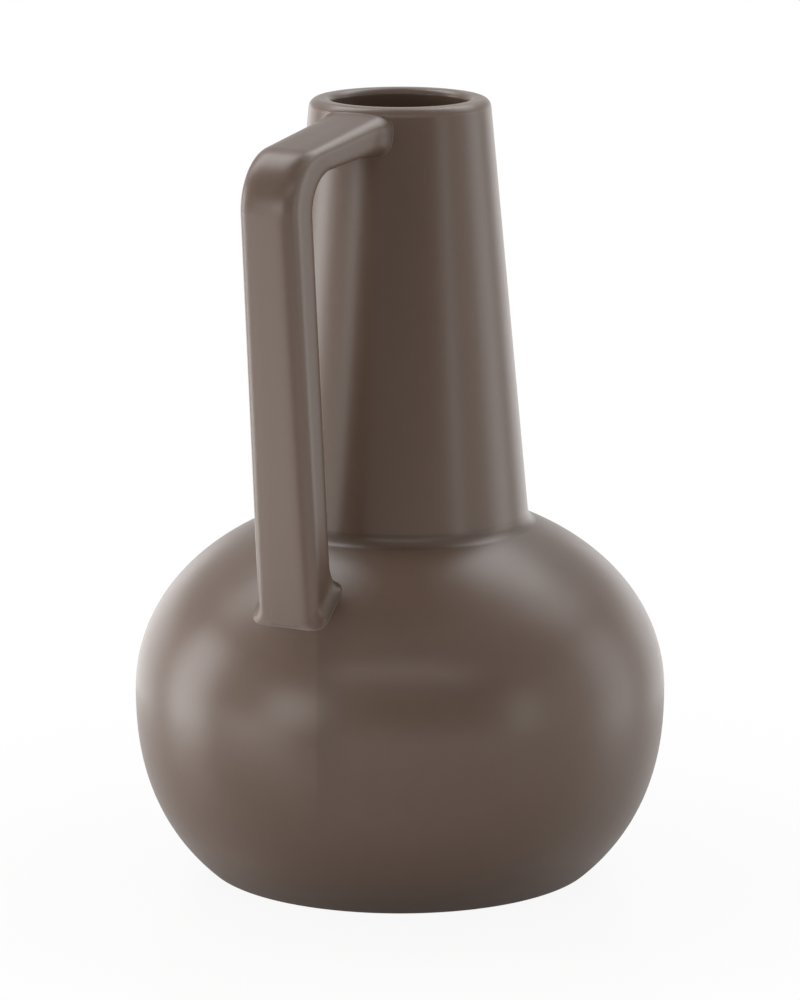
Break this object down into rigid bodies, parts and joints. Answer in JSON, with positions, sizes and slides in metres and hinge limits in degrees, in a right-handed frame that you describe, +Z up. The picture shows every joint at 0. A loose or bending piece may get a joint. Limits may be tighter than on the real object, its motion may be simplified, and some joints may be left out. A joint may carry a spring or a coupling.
{
  "type": "jug vase",
  "caption": "Round-bellied ceramic jug vase with a tall tapered neck, a thick rounded lip and one squared strap handle from under the lip to the shoulder.",
  "frame": {"origin": "centre of the resting face, on the axis of the turned belly and neck", "axes": "+Z up along the axis from the base to the lip; the handle lies in the XZ plane on the -X side"},
  "size_m": [0.1912, 0.1912, 0.28],
  "materials": {
    "belly_glaze": "satin brown glaze, bare clay on the standing ring",
    "neck_glaze": "satin brown glaze",
    "handle_glaze": "satin brown glaze, thinner and paler along the edges",
    "lute_glaze": "satin brown glaze over slip"
  },
  "bodies": {
    "root": {"belly": "belly_glaze", "neck": "neck_glaze", "neck_lute": "lute_glaze", "handle": "handle_glaze", "upper_lute": "lute_glaze", "lower_lute": "lute_glaze"}
  },
  "joints": []
}
